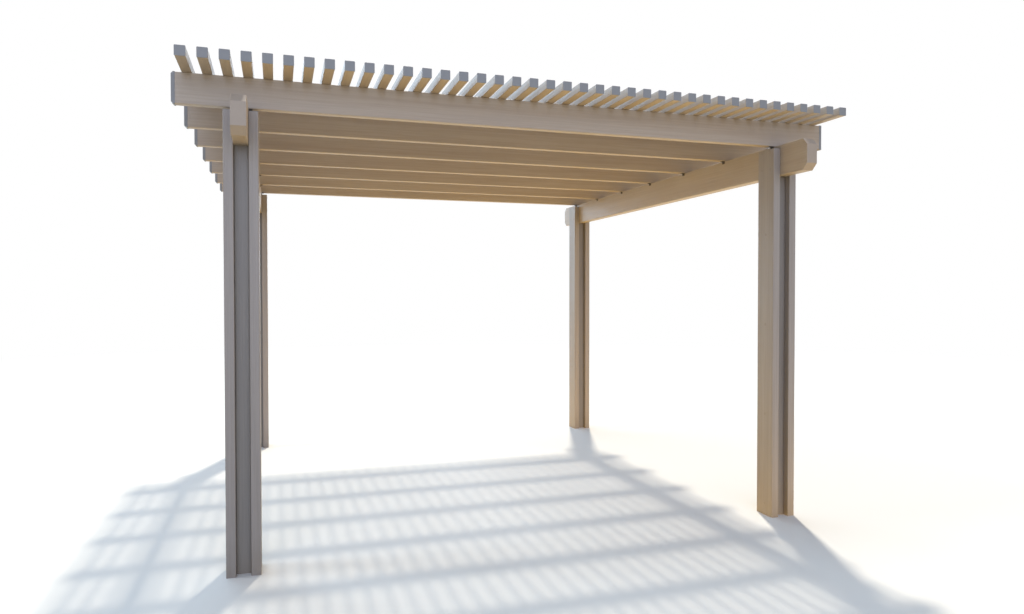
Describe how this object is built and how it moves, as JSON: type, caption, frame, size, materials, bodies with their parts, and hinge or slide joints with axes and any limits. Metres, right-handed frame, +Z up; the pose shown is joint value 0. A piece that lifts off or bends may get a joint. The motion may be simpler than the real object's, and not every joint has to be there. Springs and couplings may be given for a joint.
{
  "type": "lattice-roof pergola",
  "caption": "Free-standing aluminium pergola: posts clasped by side plates carry two mitred beams, crossing rafters and a shade lattice of square tubes.",
  "frame": {"origin": "on the ground at the centre of the four posts, which is the centre of the plan", "axes": "+X along the rafters to the right, +Y along the beams from the front to the back, +Z up"},
  "size_m": [4.1148, 4.1148, 2.7219],
  "materials": {
    "frame_paint": "satin baked paint, wood-grain embossed",
    "lattice_paint": "satin baked paint",
    "cap_paint": "satin paint, greyer than the frame",
    "clip_paint": "dark satin paint"
  },
  "bodies": {
    "root": {"beam_cap_back_left": "frame_paint", "beam_cap_back_right": "frame_paint", "beam_cap_front_left": "frame_paint", "beam_cap_front_right": "frame_paint", "beam_left": "frame_paint", "beam_right": "frame_paint", "lattice_caps_back": "cap_paint", "lattice_caps_front": "cap_paint", "lattice_tubes_1": "lattice_paint", "lattice_tubes_2": "lattice_paint", "lattice_tubes_3": "lattice_paint", "lattice_tubes_4": "lattice_paint", "lattice_tubes_5": "lattice_paint", "lattice_tubes_6": "lattice_paint", "lattice_tubes_7": "lattice_paint", "lattice_tubes_8": "lattice_paint", "post_back_left": "frame_paint", "post_back_right": "frame_paint", "post_front_left": "frame_paint", "post_front_right": "frame_paint", "rafter_1": "frame_paint", "rafter_2": "frame_paint", "rafter_3": "frame_paint", "rafter_4": "frame_paint", "rafter_5": "frame_paint", "rafter_6": "frame_paint", "rafter_7": "frame_paint", "rafter_caps_left": "cap_paint", "rafter_caps_right": "cap_paint", "rafter_clips_left": "clip_paint", "rafter_clips_right": "clip_paint", "side_plate_back_left_inner": "frame_paint", "side_plate_back_left_outer": "frame_paint", "side_plate_back_right_inner": "frame_paint", "side_plate_back_right_outer": "frame_paint", "side_plate_caps": "cap_paint", "side_plate_front_left_inner": "frame_paint", "side_plate_front_left_outer": "frame_paint", "side_plate_front_right_inner": "frame_paint", "side_plate_front_right_outer": "frame_paint"}
  },
  "joints": []
}
